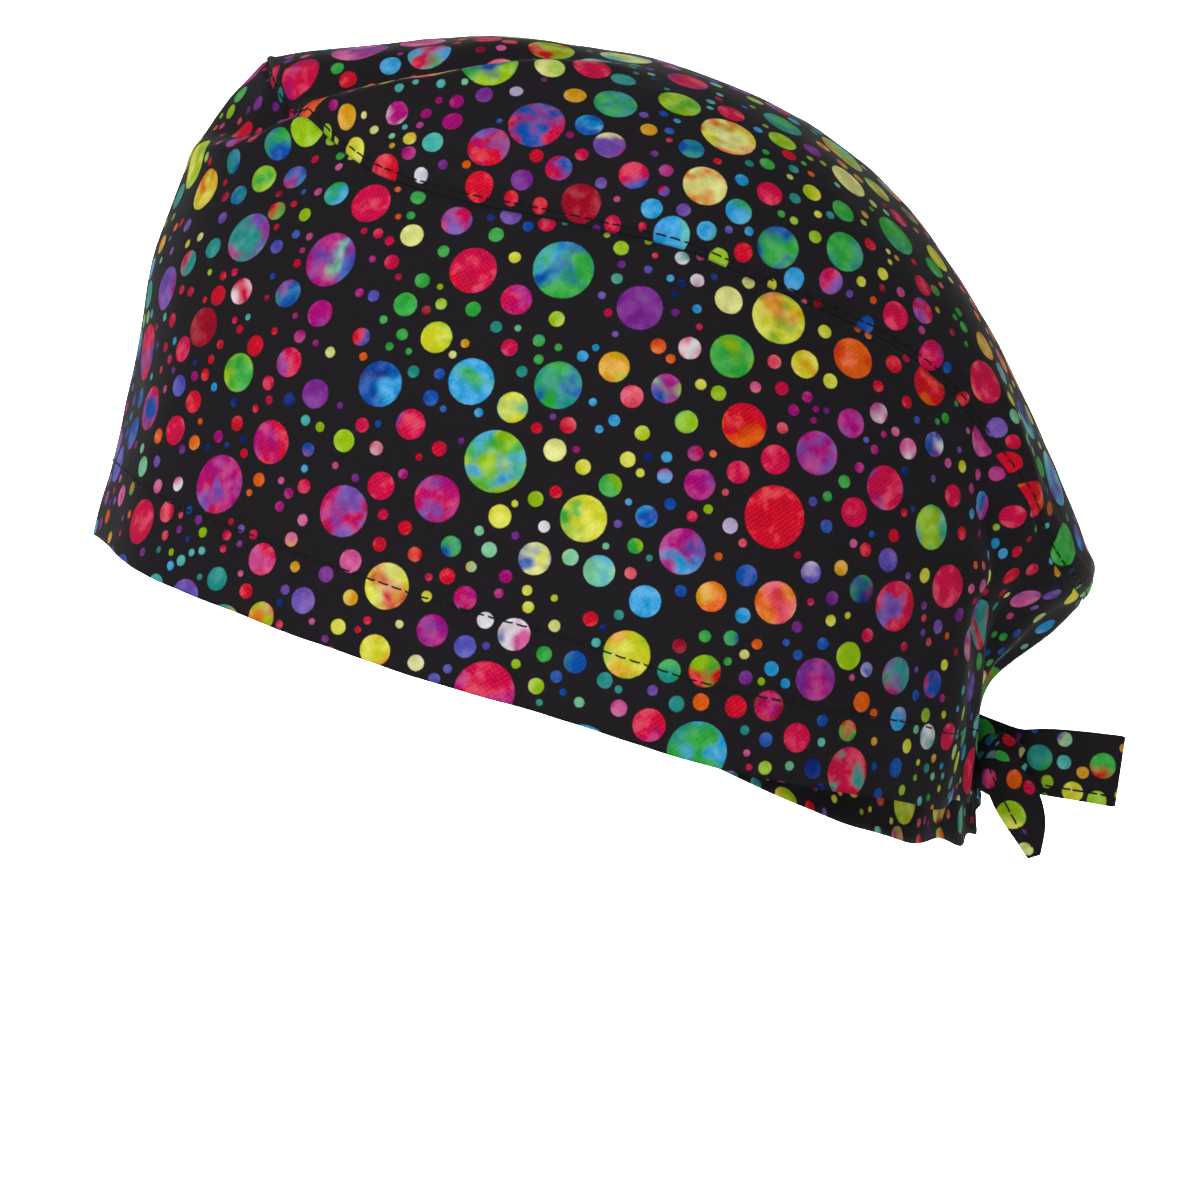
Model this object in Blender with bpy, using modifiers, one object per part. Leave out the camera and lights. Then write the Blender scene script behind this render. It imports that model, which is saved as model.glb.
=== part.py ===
"""A tie-back scrub cap of printed cotton, held in the shape that it takes on a head.

The frame: the head faces -X, the wearer's left side is -Y and +Z is up. The origin is the top of
the head under the crown. Sizes are in millimetres and are turned to metres where points are made.
"""

import math

import bpy
import numpy as np

MM = 0.001

# Driving dimensions.
CLOTH = 1.2  # wall of the faceted cloth, a little thicker than the real double layer at a seam
SEAM_GAP = 0.5  # clear space between the crown's edge and the band's edge
CORE_HEIGHT = -80.0  # a level line through the head, which folds stand out from
CORE_SPAN = (-10.0, 55.0)
CAP_MIDDLE = (20, 0, -90)  # a point inside, which every panel faces away from
COTTON_BLACK = (0.022, 0.02, 0.024, 1)
COTTON_ROUGHNESS = 0.85
FAR_HEM_DROP = 11.0  # how much lower the right side's hem is pulled behind the neck
FAR_DROP_RIBS = (7.5, 15.0)  # the ribs between which it is pulled
FAR_FOLDS = 0.6  # how high the right side's folds stand, as a share of the left side's
TIE_WIDTH = 15.0  # a tie strip, folded and stitched
TIE_WALL = 2.0  # its four layers of cotton
COLUMNS_PER_RIB = 4  # faces between two ribs, along the hem
BAND_ROWS = 10  # faces from the hem up to the crown's seam
CROWN_ROWS = 14  # faces across the crown from seam to seam
CROWN_POWER = 2.2  # how square the crown's arch is: 2 is an ellipse

# Ribs of the left half, from the middle of the brow (first) to the middle of the nape (last).
# Each one runs from the hem up to the crown's seam, and on over the head to the middle line.
HEM = [
    (-86.2, 0, -104.3), (-82.8, -19, -106.5), (-76, -38, -111.5), (-64, -53, -117),
    (-46, -65.5, -124), (-24, -75, -131.7), (0, -80.5, -139), (24, -83.5, -146),
    (46, -83.5, -152.7), (65, -76, -157), (80, -62.5, -159.7), (91, -43, -161),
    (97.5, -22, -160.6), (100.5, -9, -160.3), (101.6, -4, -160.3), (102, 0, -160.3),
]
SEAM = [
    (-49.8, 0, -3.4), (-48.5, -15, -9), (-44.5, -29, -15.5), (-35, -43, -23),
    (-23, -56, -32), (-5, -64.5, -37.5), (16, -70, -42.3), (36, -72, -47),
    (54, -70, -54), (71, -65, -61), (86, -58, -69.5), (98.5, -50, -80.5),
    (108, -41, -97), (117, -28, -112), (122.3, -14, -117.3), (124.3, 0, -119),
]
TOP = [
    (-49.8, -3.4), (-46.5, -3), (-40, -2.2), (-29, -1.3),
    (-14, 0.4), (2, 1), (20, -1.5), (38, -5.3),
    (56, -12.5), (72, -22), (88, -38), (102, -58),
    (115, -84), (124, -105.5), (126.6, -112), (124.3, -119),
]
# How far the cloth stands outside a rib's straight line, at three heights of the band.
BULGE_AT = (0.3, 0.6, 0.85)
BULGE = [
    (3.6, 8.8, 7), (3.6, 8.6, 6.5), (3.4, 8, 5.5), (3.2, 7, 4.5),
    (3, 6.4, 4), (3, 6, 3.8), (3, 6, 3.6), (3, 6, 3.4),
    (3, 5.6, 3), (3, 5.4, 3), (3, 5, 3), (2.4, 3.6, 2),
    (-1, -1, -0.4), (-5, -6, -2.4), (-7, -7.6, -3.2), (-7.6, -8.2, -3.4),
]

# Folds: a line near the cloth, how high it stands (below zero, how deep it sinks) and half its width.
FOLDS = [
    # The overlapping lip over the left temple, and the valley behind it.
    ([(-65, -4, -23.5), (-59, -20, -25.5), (-51.5, -33.5, -26), (-44.5, -36, -22), (-36, -40.5, -19),
      (-24, -47, -16), (-8, -50, -12.5), (8, -48, -10), (24, -42, -8.5)], 2.2, 5.5),
    ([(-60, -8, -17), (-53, -22, -18), (-45, -26, -14.5), (-34, -32, -11.5), (-20, -36, -8.5),
      (-4, -38, -6.5), (14, -36, -6)], -3.2, 6),
    # A dip under the crown's seam above the ear.
    ([(52, -72, -60), (62, -69, -58.5), (70, -66, -63.5), (79, -63, -68)], -2, 6),
    # The upright tuck behind the ear, a ridge with a valley in front of it.
    ([(105, -42, -74), (107.5, -42, -86), (108.5, -40, -98), (109, -37, -108)], 2.4, 5),
    ([(97, -52, -72), (102, -47, -84), (101.5, -47.5, -96), (101, -46, -110)], -2.6, 6),
]
PLEATS = 1.4  # height of the gathers behind the neck
PLEAT_RIBS = 1.35  # ribs from one gather to the next
PLEATS_FROM = 9.5  # the rib where the gathers begin

# The ties: the line down the middle of each strip, and its width at the line's points.
TIE_BACK = [
    (104.6, 3.6, -150), (110, 2, -152.6), (117, -0.5, -153.2), (124.5, -2, -154.1), (131.9, -1.4, -155.2),
]
TIE_BACK_WIDTHS = (11, 12, 14, 15.2, TIE_WIDTH)
TIE_DOWN = [(105.4, -9.6, -155.2), (108.8, -10.6, -160), (111.2, -10.6, -166), (113, -9.8, -173)]
TIE_DOWN_WIDTHS = (7, 10.4, 8.8, 3.4)
STEPS_PER_POINT = 4  # faces between two points of a tie's line
KNOT_AT = (105.6, -4.4, -154.6)
KNOT_SIZE = (5.6, 8.2, 12.5)
KNOT_PINCH = 0.16  # how much the strip round the knot's middle pulls it in
KNOT_WAIST = 0.3  # half the height of that strip, as a share of the knot's


def clear_scene():
    for thing in list(bpy.data.objects):
        bpy.data.objects.remove(thing, do_unlink=True)


def collection(name):
    made = bpy.data.collections.new(name)
    bpy.context.scene.collection.children.link(made)
    return made


def cotton(piece_name):
    """Black printed cotton for one piece."""
    material = bpy.data.materials.new("printed_cotton_" + piece_name)
    material.use_nodes = True
    shader = material.node_tree.nodes["Principled BSDF"]
    shader.inputs["Base Color"].default_value = COTTON_BLACK
    shader.inputs["Roughness"].default_value = COTTON_ROUGHNESS
    return material


def smooth_line(knots, count, closed=False):
    """Points on a smooth curve through the knots, with count steps from each knot to the next.

    The first axis runs along the curve, and the others can hold several curves at once."""
    knots = np.asarray(knots, float)
    n = len(knots)
    if closed:
        ring = np.concatenate([knots[-1:], knots, knots[:2]])
    else:
        ring = np.concatenate([2 * knots[:1] - knots[1:2], knots, 2 * knots[-1:] - knots[-2:-1]])
    spans = n if closed else n - 1
    points = []
    for span in range(spans):
        a, b, c, d = ring[span:span + 4]
        for step in range(count):
            t = step / count
            points.append(0.5 * (2 * b + (c - a) * t + (2 * a - 5 * b + 4 * c - d) * t ** 2
                                 + (3 * b - a - 3 * c + d) * t ** 3))
    if not closed:
        points.append(knots[-1])
    return np.array(points)


def even_line(points, count):
    """The same curve with count equal steps along its length."""
    length = np.concatenate([[0], np.cumsum(np.linalg.norm(np.diff(points, axis=0), axis=1))])
    wanted = np.linspace(0, length[-1], count + 1)
    return np.stack([np.interp(wanted, length, points[:, axis]) for axis in range(3)], axis=1)


def ring_of_ribs():
    """Hem, three bulged points and seam of each rib, all round the head from the brow and back."""
    last = len(HEM) - 1
    ribs = []
    for index in [*range(last + 1), *range(last - 1, 0, -1)]:
        left = len(ribs) <= last
        side = 1 if left else -1
        hem, seam = np.array(HEM[index], float), np.array(SEAM[index], float)
        if not left:
            start, end = FAR_DROP_RIBS
            share = min(1, max(0, (index - start) / (end - start)))
            hem[2] -= FAR_HEM_DROP * math.sin(math.pi * share) ** 0.8
        outward = outward_at(index)
        rib = [hem]
        for share, bulge in zip(BULGE_AT, BULGE[index]):
            rib.append(hem + (seam - hem) * share + outward * bulge)
        rib.append(seam)
        ribs.append([(x, side * y, z) for x, y, z in rib])
    return np.array(ribs)


def outward_at(index):
    """The level direction away from the head, across the hem at a rib of the left half."""
    before, after = HEM[max(0, index - 1)], HEM[min(len(HEM) - 1, index + 1)]
    along = np.array([after[0] - before[0], after[1] - before[1], 0])
    if index in (0, len(HEM) - 1):
        return np.array([-1.0 if index == 0 else 1.0, 0, 0])
    across = np.array([along[1], -along[0], 0])
    return across / np.linalg.norm(across)


def band_grid():
    ribs = smooth_line(ring_of_ribs(), COLUMNS_PER_RIB, closed=True)
    return np.array([even_line(smooth_line(rib, 8), BAND_ROWS) for rib in ribs])


def crown_grid():
    """Arches from the left seam over the head to the right one, for each step from brow to nape."""
    seams = smooth_line(SEAM, COLUMNS_PER_RIB)
    tops = smooth_line([(x, 0, z) for x, z in TOP], COLUMNS_PER_RIB)
    arches = []
    for seam, top in zip(seams, tops):
        arch = []
        foot = np.array([seam[0], 0, seam[2]])
        for angle in np.linspace(-math.pi / 2, math.pi / 2, 49):
            out = math.copysign(abs(math.sin(angle)) ** (2 / CROWN_POWER), angle)
            height = max(0, math.cos(angle)) ** (2 / CROWN_POWER)
            arch.append(foot + (top - foot) * height - np.array([0, seam[1] * out, 0]))
        arches.append(even_line(np.array(arch), CROWN_ROWS))
    return np.array(arches)


def unit(vectors):
    return vectors / np.linalg.norm(vectors, axis=-1, keepdims=True)


def away_from_head(points):
    """Unit directions out of the cap, away from a level line through the middle of the head."""
    core = np.zeros(points.shape)
    core[..., 0] = np.clip(points[..., 0], *CORE_SPAN)
    core[..., 2] = CORE_HEIGHT
    return unit(points - core)


def distance_to_line(points, line):
    """Distance of each point from a bent line, and how far along the line that is, from 0 to 1."""
    best = np.full(points.shape[:-1], np.inf)
    along = np.zeros(points.shape[:-1])
    spans = len(line) - 1
    for index in range(spans):
        start, end = np.array(line[index], float), np.array(line[index + 1], float)
        step = end - start
        share = np.clip(((points - start) @ step) / (step @ step), 0, 1)
        away = np.linalg.norm(points - start - share[..., None] * step, axis=-1)
        nearer = away < best
        best = np.where(nearer, away, best)
        along = np.where(nearer, (index + share) / spans, along)
    return best, along


def fold_heights(points):
    """How far the folds lift each point out of the smooth cloth. The right side has them softer."""
    heights = np.zeros(points.shape[:-1])
    for side, strength in ((1, 1.0), (-1, FAR_FOLDS)):
        mirrored = points * np.array([1, side, 1])
        for line, height, width in FOLDS:
            away, along = distance_to_line(mirrored, line)
            ends = np.sin(np.pi * np.clip(along * 0.9 + 0.05, 0, 1)) ** 0.6
            heights += strength * height * np.exp(-(away / width) ** 2) * ends
    return heights


def gather_heights(ribs_along, rows_up):
    """The gathers behind the neck, which fade towards the ears and the crown's seam."""
    start = np.clip((ribs_along - PLEATS_FROM) / 2, 0, 1)
    wave = np.cos(2 * np.pi * (ribs_along - PLEATS_FROM) / PLEAT_RIBS)
    return PLEATS * start * wave * np.cos(np.pi / 2 * rows_up ** 2)


def cloth_object(name, grid, closed, thickness, parts):
    """An open sheet over the grid's points, thickened inwards. Repeated points become one."""
    columns, rows = grid.shape[0], grid.shape[1]
    points, index = [], {}
    numbers = np.zeros((columns, rows), int)
    for column in range(columns):
        for row in range(rows):
            key = tuple(np.round(grid[column, row], 4))
            if key not in index:
                index[key] = len(points)
                points.append([value * MM for value in grid[column, row]])
            numbers[column, row] = index[key]
    faces = []
    for column in range(columns if closed else columns - 1):
        after = (column + 1) % columns
        for row in range(rows - 1):
            corners = [*numbers[column, row:row + 2], *numbers[after, row:row + 2][::-1]]
            face = list(dict.fromkeys(int(corner) for corner in corners))
            if len(face) > 2:
                faces.append(face)
    mesh = bpy.data.meshes.new(name)
    mesh.from_pydata(points, [], faces)
    mesh.update()
    piece = bpy.data.objects.new(name, mesh)
    parts.objects.link(piece)
    face_out(mesh)
    wall = piece.modifiers.new("wall", "SOLIDIFY")
    wall.thickness = thickness * MM
    wall.offset = -1
    wall.use_even_offset = False
    mesh.materials.append(cotton(name))
    mesh.shade_smooth()
    return piece


def face_out(mesh):
    """Turns the sheet over if most of it faces the inside of the cap."""
    middle = np.array(CAP_MIDDLE) * MM
    facing = sum(
        (np.array(face.center) - middle) @ np.array(face.normal) * face.area for face in mesh.polygons
    )
    if facing < 0:
        mesh.flip_normals()


def make_band(parts):
    grid = band_grid()
    columns = len(grid)
    ribs_along = np.array([min(c, columns - c) for c in range(columns)]) / COLUMNS_PER_RIB
    rows_up = np.linspace(0, 1, BAND_ROWS + 1)
    lift = fold_heights(grid) + gather_heights(ribs_along[:, None], rows_up[None, :])
    grid = grid + away_from_head(grid) * lift[..., None]
    # The top edge stops short of the crown.
    grid[:, -1] += unit(grid[:, -2] - grid[:, -1]) * SEAM_GAP
    return cloth_object("side_band", grid, True, CLOTH, parts)


def make_crown(parts):
    grid = crown_grid()
    grid = grid + away_from_head(grid) * fold_heights(grid)[..., None]
    # Its edge stops short of the band all round, and its two ends are the ends of the middle line.
    middle = CROWN_ROWS // 2
    for edge, inner in ((0, 1), (-1, -2)):
        grid[1:-1, edge] += unit(grid[1:-1, inner] - grid[1:-1, edge]) * SEAM_GAP
        grid[edge] += unit(grid[inner, middle] - grid[edge, middle]) * SEAM_GAP
    return cloth_object("crown_panel", grid, False, CLOTH, parts)


def make_tie(name, line, widths, face, parts):
    """A strip of folded cloth along a line. face is the level direction that its flat side looks in."""
    route = smooth_line(line, STEPS_PER_POINT)
    wide = smooth_line(np.array(widths)[:, None], STEPS_PER_POINT)
    across = unit(np.cross(np.gradient(route, axis=0), face)) * wide
    grid = np.stack([route + across * share for share in (-0.5, -0.17, 0.17, 0.5)], axis=1)
    piece = cloth_object(name, grid, False, TIE_WALL, parts)
    piece.modifiers["wall"].offset = 0
    piece.modifiers["wall"].use_even_offset = True
    return piece


def make_knot(parts):
    """A small lump of wrapped strips, from a coarse ball."""
    bpy.ops.mesh.primitive_ico_sphere_add(subdivisions=3, radius=1)
    knot = bpy.context.active_object
    knot.name = knot.data.name = "tie_knot"
    for vertex in knot.data.vertices:
        # One strip is wrapped round the middle, and pulls it in.
        waist = 1 - KNOT_PINCH * math.exp(-(vertex.co.z / KNOT_WAIST) ** 2)
        for axis, squeeze in enumerate((waist, waist, 1)):
            vertex.co[axis] = (KNOT_AT[axis] + vertex.co[axis] * squeeze * KNOT_SIZE[axis] / 2) * MM
    for owner in list(knot.users_collection):
        owner.objects.unlink(knot)
    parts.objects.link(knot)
    knot.data.materials.append(cotton("tie_knot"))
    knot.data.shade_smooth()
    return knot


clear_scene()
PARTS = collection("scrub_cap")
make_band(PARTS)
make_crown(PARTS)
make_knot(PARTS)
make_tie("tie_end_back", TIE_BACK, TIE_BACK_WIDTHS, (0, -1, 0), PARTS)
make_tie("tie_end_down", TIE_DOWN, TIE_DOWN_WIDTHS, (0.3, -1, 0), PARTS)
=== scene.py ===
# %% [markdown]
# # A scrub cap of dotted cotton
# A tie-back scrub cap is cut from quilting cotton: a deep band goes round the head, a crown panel
# is sewn into its top edge, and two ties pull the back in. Here each panel is one sheet of cloth,
# shaped by ribs from hem to seam, then folded, turned up at the hem, stitched and printed.
#
# The frame: the brow faces -X, the wearer's left side is -Y and +Z is up. Lengths are kept in
# millimetres and turned to metres only where a mesh is made.

# %% The packed frame
import math

import bpy
import numpy as np
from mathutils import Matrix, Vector, noise
from mathutils.bvhtree import BVHTree
from mathutils.interpolate import poly_3d_calc


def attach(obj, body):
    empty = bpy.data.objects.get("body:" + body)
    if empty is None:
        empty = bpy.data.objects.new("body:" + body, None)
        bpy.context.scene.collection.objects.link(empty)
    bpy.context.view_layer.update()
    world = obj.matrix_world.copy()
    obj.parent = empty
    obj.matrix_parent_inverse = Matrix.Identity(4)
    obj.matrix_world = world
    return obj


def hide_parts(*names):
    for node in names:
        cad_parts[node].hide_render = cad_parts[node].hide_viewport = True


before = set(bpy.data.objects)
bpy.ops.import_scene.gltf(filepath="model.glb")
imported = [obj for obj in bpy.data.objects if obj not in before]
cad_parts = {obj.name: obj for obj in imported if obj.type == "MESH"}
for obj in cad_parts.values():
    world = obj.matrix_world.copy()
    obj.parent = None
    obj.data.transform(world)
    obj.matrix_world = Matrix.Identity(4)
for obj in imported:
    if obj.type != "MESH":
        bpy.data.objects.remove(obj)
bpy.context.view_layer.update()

MM = 0.001
SEED = 11

# %% [markdown]
# ## The shape of the cap
# A cap on a head is pulled tight over the brow and the sides, and hangs loose behind. The surest
# way to draw that is a set of ribs, each running from the hem to the crown's seam. A smooth curve
# through the ribs gives the cloth without its folds, which stand for the flat cut of the panel.

# %% Ribs of the left half, from the middle of the brow to the middle of the nape
HEM = [
    (-86.2, 0, -104.3), (-82.8, -19, -106.5), (-76, -38, -111.5), (-64, -53, -117),
    (-46, -65.5, -124), (-24, -75, -131.7), (0, -80.5, -139), (24, -83.5, -146),
    (46, -83.5, -152.7), (65, -76, -157), (80, -62.5, -159.7), (91, -43, -161),
    (97.5, -22, -160.6), (100.5, -9, -160.3), (101.6, -4, -160.3), (102, 0, -160.3),
]
SEAM = [
    (-49.8, 0, -3.4), (-48.5, -15, -9), (-44.5, -29, -15.5), (-35, -43, -23),
    (-23, -56, -32), (-5, -64.5, -37.5), (16, -70, -42.3), (36, -72, -47),
    (54, -70, -54), (71, -65, -61), (86, -58, -69.5), (98.5, -50, -80.5),
    (108, -41, -97), (117, -28, -112), (122.3, -14, -117.3), (124.3, 0, -119),
]
TOP = [
    (-49.8, -3.4), (-46.5, -3), (-40, -2.2), (-29, -1.3),
    (-14, 0.4), (2, 1), (20, -1.5), (38, -5.3),
    (56, -12.5), (72, -22), (88, -38), (102, -58),
    (115, -84), (124, -105.5), (126.6, -112), (124.3, -119),
]
BULGE_AT = (0.3, 0.6, 0.85)
BULGE = [
    (3.6, 8.8, 7), (3.6, 8.6, 6.5), (3.4, 8, 5.5), (3.2, 7, 4.5),
    (3, 6.4, 4), (3, 6, 3.8), (3, 6, 3.6), (3, 6, 3.4),
    (3, 5.6, 3), (3, 5.4, 3), (3, 5, 3), (2.4, 3.6, 2),
    (-1, -2.2, -0.8), (-5, -8.8, -3.4), (-7, -11, -4.2), (-7.6, -11.6, -4.4),
]
print(len(HEM), "ribs from brow to nape;", "highest point", max(z for x, z in TOP), "mm")

# %% [markdown]
# ## Lines and directions
# Cloth is measured along itself, so most of the shaping needs two things: a smooth line through a few
# knots, and the point that lies a given length along a line. A Catmull-Rom curve passes through its
# knots, unlike a Bezier curve's handles, so a rib stays where the cap was measured.

# %% Smooth lines, and lengths along them
def smooth_line(knots, count, closed=False):
    """A smooth curve through the knots, with count steps from each knot to the next."""
    knots = np.asarray(knots, float)
    n = len(knots)
    if closed:
        ring = np.concatenate([knots[-1:], knots, knots[:2]])
    else:
        ring = np.concatenate([2 * knots[:1] - knots[1:2], knots, 2 * knots[-1:] - knots[-2:-1]])
    points = []
    for span in range(n if closed else n - 1):
        a, b, c, d = ring[span:span + 4]
        for step in range(count):
            t = step / count
            points.append(0.5 * (2 * b + (c - a) * t + (2 * a - 5 * b + 4 * c - d) * t ** 2
                                 + (3 * b - a - 3 * c + d) * t ** 3))
    if not closed:
        points.append(knots[-1])
    return np.array(points)


def lengths(points):
    """How far along a line each of its points is."""
    return np.concatenate([[0], np.cumsum(np.linalg.norm(np.diff(points, axis=0), axis=1))])


def at_lengths(points, wanted):
    """Points of a line at the given distances along it."""
    length = lengths(points)
    return np.stack([np.interp(wanted, length, points[:, axis]) for axis in range(points.shape[1])], axis=1)


print("brow rib, hem to seam:", round(float(lengths(np.array([HEM[0], SEAM[0]], float))[-1])), "mm")


# %% Directions, and soft steps
def unit(vectors):
    """The same directions, each one long."""
    return vectors / np.maximum(np.linalg.norm(vectors, axis=-1, keepdims=True), 1e-9)


def step_up(value, start, end):
    """0 before start, 1 after end, and a soft step between."""
    t = np.clip((value - start) / (end - start), 0, 1)
    return t * t * (3 - 2 * t)


HEAD_LINE = (-10, 55)  # a level line through the middle of the head, from front to back
HEAD_LINE_HEIGHT = -80


def away_from_head(points):
    """Directions out of the cap, away from a level line through the middle of the head."""
    core = np.zeros(points.shape)
    core[..., 0] = np.clip(points[..., 0], *HEAD_LINE)
    core[..., 2] = HEAD_LINE_HEIGHT
    return unit(points - core)


print("out of the cap at the brow:", away_from_head(np.array(HEM[0], float)).round(2))

# %% [markdown]
# ## The band and the crown without folds
# The band's ribs go round the whole head: the right half is the left half mirrored, with its hem
# pulled a little lower behind the neck. Between hem and seam a rib bulges out at the brow, and pulls
# in at the nape, where the ties draw the cloth together under the loose pouch. The crown is an arch
# from each point of the seam over to its mirror image: a half ellipse made a little square.

# %% The ring of ribs
FAR_HEM_DROP = 11.0  # the right side's hem is pulled lower behind the neck
FAR_DROP_RIBS = (7.5, 7.5)  # where that starts, and over how many ribs it comes and goes


def outward_at(index):
    """Level direction out of the band at a rib: straight ahead at the brow, straight back at the nape."""
    before, after = HEM[max(0, index - 1)], HEM[min(len(HEM) - 1, index + 1)]
    if index in (0, len(HEM) - 1):
        return np.array([-1.0 if index == 0 else 1.0, 0, 0])
    return unit(np.array([after[1] - before[1], -(after[0] - before[0]), 0]))


def ring_of_ribs():
    """The ribs of both halves, from the brow over the left side to the nape and back over the right."""
    last = len(HEM) - 1
    ribs = []
    for index in [*range(last + 1), *range(last - 1, 0, -1)]:
        left = len(ribs) <= last
        side = 1 if left else -1
        hem, seam = np.array(HEM[index], float), np.array(SEAM[index], float)
        if not left:
            share = min(1, max(0, (index - FAR_DROP_RIBS[0]) / FAR_DROP_RIBS[1]))
            hem[2] -= FAR_HEM_DROP * math.sin(math.pi * share) ** 0.8
        rib = [hem]
        for share, bulge in zip(BULGE_AT, BULGE[index]):
            rib.append(hem + (seam - hem) * share + outward_at(index) * bulge)
        rib.append(seam)
        ribs.append([(x, side * y, z) for x, y, z in rib])
    return np.array(ribs)


# %% The unfolded band
COLUMNS_PER_RIB = 12
BAND_ROWS = 84
band_share = np.linspace(0, 1, BAND_ROWS + 1)
band_smooth = []
for rib in smooth_line(ring_of_ribs(), COLUMNS_PER_RIB, closed=True):
    line = smooth_line(rib, 8)
    band_smooth.append(at_lengths(line, band_share * lengths(line)[-1]))
band_smooth = np.array(band_smooth)
hem_round = lengths(np.vstack([band_smooth[:, 0], band_smooth[:1, 0]]))[-1]
print("hem round the head:", round(float(hem_round)), "mm")

# %% The unfolded crown
CROWN_ROWS = 150
CROWN_POWER = 2.2  # how square the crown's arch is
ARCH_POINTS = 97
# Faces are closer together beside the crown's seam, where its edge is pressed and stitched.
even = np.linspace(0, 1, CROWN_ROWS + 1)
crown_share = even - 0.5 * np.sin(2 * np.pi * even) / (2 * np.pi)
crown_smooth = []
seam_smooth = smooth_line(SEAM, COLUMNS_PER_RIB)
top_smooth = smooth_line([(x, 0, z) for x, z in TOP], COLUMNS_PER_RIB)
for seam, top in zip(seam_smooth, top_smooth):
    angle = np.linspace(-math.pi / 2, math.pi / 2, ARCH_POINTS)[:, None]
    out = np.sign(angle) * np.abs(np.sin(angle)) ** (2 / CROWN_POWER)
    height = np.maximum(0, np.cos(angle)) ** (2 / CROWN_POWER)
    foot = np.array([seam[0], 0, seam[2]])
    arch = foot + (top - foot) * height - np.array([0, seam[1], 0]) * out
    crown_smooth.append(at_lengths(arch, crown_share * lengths(arch)[-1]))
crown_smooth = np.array(crown_smooth)
# The two ends of the crown run out to a point, so they keep a sliver of width.
crown_smooth[0] += 0.2 * (crown_smooth[1] - crown_smooth[0])
crown_smooth[-1] += 0.2 * (crown_smooth[-2] - crown_smooth[-1])
longest = max(float(lengths(arch)[-1]) for arch in crown_smooth)
print("crown, seam to seam over the top:", round(longest), "mm")

# %% [markdown]
# ## Folds
# Cotton doesn't stretch, so where a flat panel meets a round head the spare cloth stands up in
# folds. A fold is a line near the cloth with a height and a width, and each point of the cloth moves
# out or in by how near it is. One rule for both panels keeps a fold whole where it crosses the seam.

# %% The folds: a line on the left side, then height and width in millimetres
FOLDS = [
    # The overlapping lip over the left temple, and the valley behind it.
    ([(-65, -4, -23.5), (-59, -20, -25.5), (-51.5, -33.5, -26), (-44.5, -36, -22), (-36, -40.5, -19),
      (-24, -47, -16), (-8, -50, -12.5), (8, -48, -10), (24, -42, -8.5)], 3.2, 4.4),
    ([(-60, -8, -17), (-53, -22, -18), (-45, -26, -14.5), (-34, -32, -11.5), (-20, -36, -8.5),
      (-4, -38, -6.5), (14, -36, -6)], -4.4, 5.0),
    # A dip under the crown's seam above the ear.
    ([(52, -72, -60), (62, -69, -58.5), (70, -66, -63.5), (79, -63, -68)], -2, 6),
    # The upright tuck behind the ear, a ridge with a valley in front of it.
    ([(105, -42, -74), (107.5, -42, -86), (108.5, -40, -98), (109, -37, -108)], 2.4, 5),
    ([(97, -52, -72), (102, -47, -84), (101.5, -47.5, -96), (101, -46, -110)], -1.8, 7),
    # The pouch hangs over the tie: a lip, and the hollow under it.
    ([(90, -52, -112), (97, -47, -113.5), (105, -43, -114.5), (114, -33, -116), (121, -18, -117.5)], 2.6, 5),
    ([(96, -44, -124), (103, -38, -123.5), (110, -29, -124), (115, -16, -126)], -3.0, 6),
]
FAR_FOLDS = 0.6  # the right side's folds, beside the left side's
print(len(FOLDS), "folds, up to", max(abs(height) for line, height, width in FOLDS), "mm high")


# %% How high the folds lift the cloth
def distance_to_line(points, line):
    """How far each point is from the line, and how far along the line, 0 to 1, it is nearest."""
    best = np.full(points.shape[:-1], np.inf)
    along = np.zeros(points.shape[:-1])
    for index in range(len(line) - 1):
        start, end = np.array(line[index], float), np.array(line[index + 1], float)
        step = end - start
        share = np.clip(((points - start) @ step) / (step @ step), 0, 1)
        away = np.linalg.norm(points - start - share[..., None] * step, axis=-1)
        along = np.where(away < best, (index + share) / (len(line) - 1), along)
        best = np.minimum(best, away)
    return best, along


def fold_heights(points):
    """How far the folds of both sides move each point out, or in where negative."""
    heights = np.zeros(points.shape[:-1])
    for side, strength in ((1, 1.0), (-1, FAR_FOLDS)):
        mirrored = points * np.array([1, side, 1])
        for line, height, width in FOLDS:
            away, along = distance_to_line(mirrored, line)
            ends = np.sin(np.pi * np.clip(along * 0.9 + 0.05, 0, 1)) ** 0.6
            heights += strength * height * np.exp(-(away / width) ** 2) * ends
    return heights


print("lift at a temple's fold:", fold_heights(np.array([FOLDS[0][0][4]], float)).round(1), "mm")

# %% [markdown]
# ## Gathers and creases
# The ties draw the nape in, so the band stands there in small upright pleats that die out towards the
# crown: a cosine round the ribs is enough. Wear leaves small soft creases everywhere, which smooth
# noise gives: one size for the broad ones and one for the fine.

# %% Small creases and the gathers of the nape
PLEATS = 1.0  # millimetres, from the smooth cloth to a pleat's top
PLEAT_RIBS = 1.35  # how many ribs from one pleat to the next
PLEATS_FROM = 9.5  # the rib behind the ear where they start
CREASES = ((26, 0.9, 5), (9, 0.28, 8))  # size and height in millimetres, and seed


def creases(points, size, height, seed):
    """Soft random relief of the given size and height, for the small creases that wear leaves."""
    flat = points.reshape(-1, 3) / size + seed
    found = np.array([noise.noise(Vector(point)) for point in flat])
    return height * found.reshape(points.shape[:-1])


def gather_heights(ribs_along, rows_up, points):
    """How far the nape's pleats move each point: full at the hem, nothing at the seam."""
    start = np.clip((ribs_along - PLEATS_FROM) / 2, 0, 1)
    wander = creases(points, 40, 1.6, 3)
    broad = np.cos(2 * np.pi * (ribs_along - PLEATS_FROM) / PLEAT_RIBS + wander * (1 - rows_up) * 0.4)
    return start * np.cos(np.pi / 2 * rows_up ** 2) * PLEATS * broad


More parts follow.
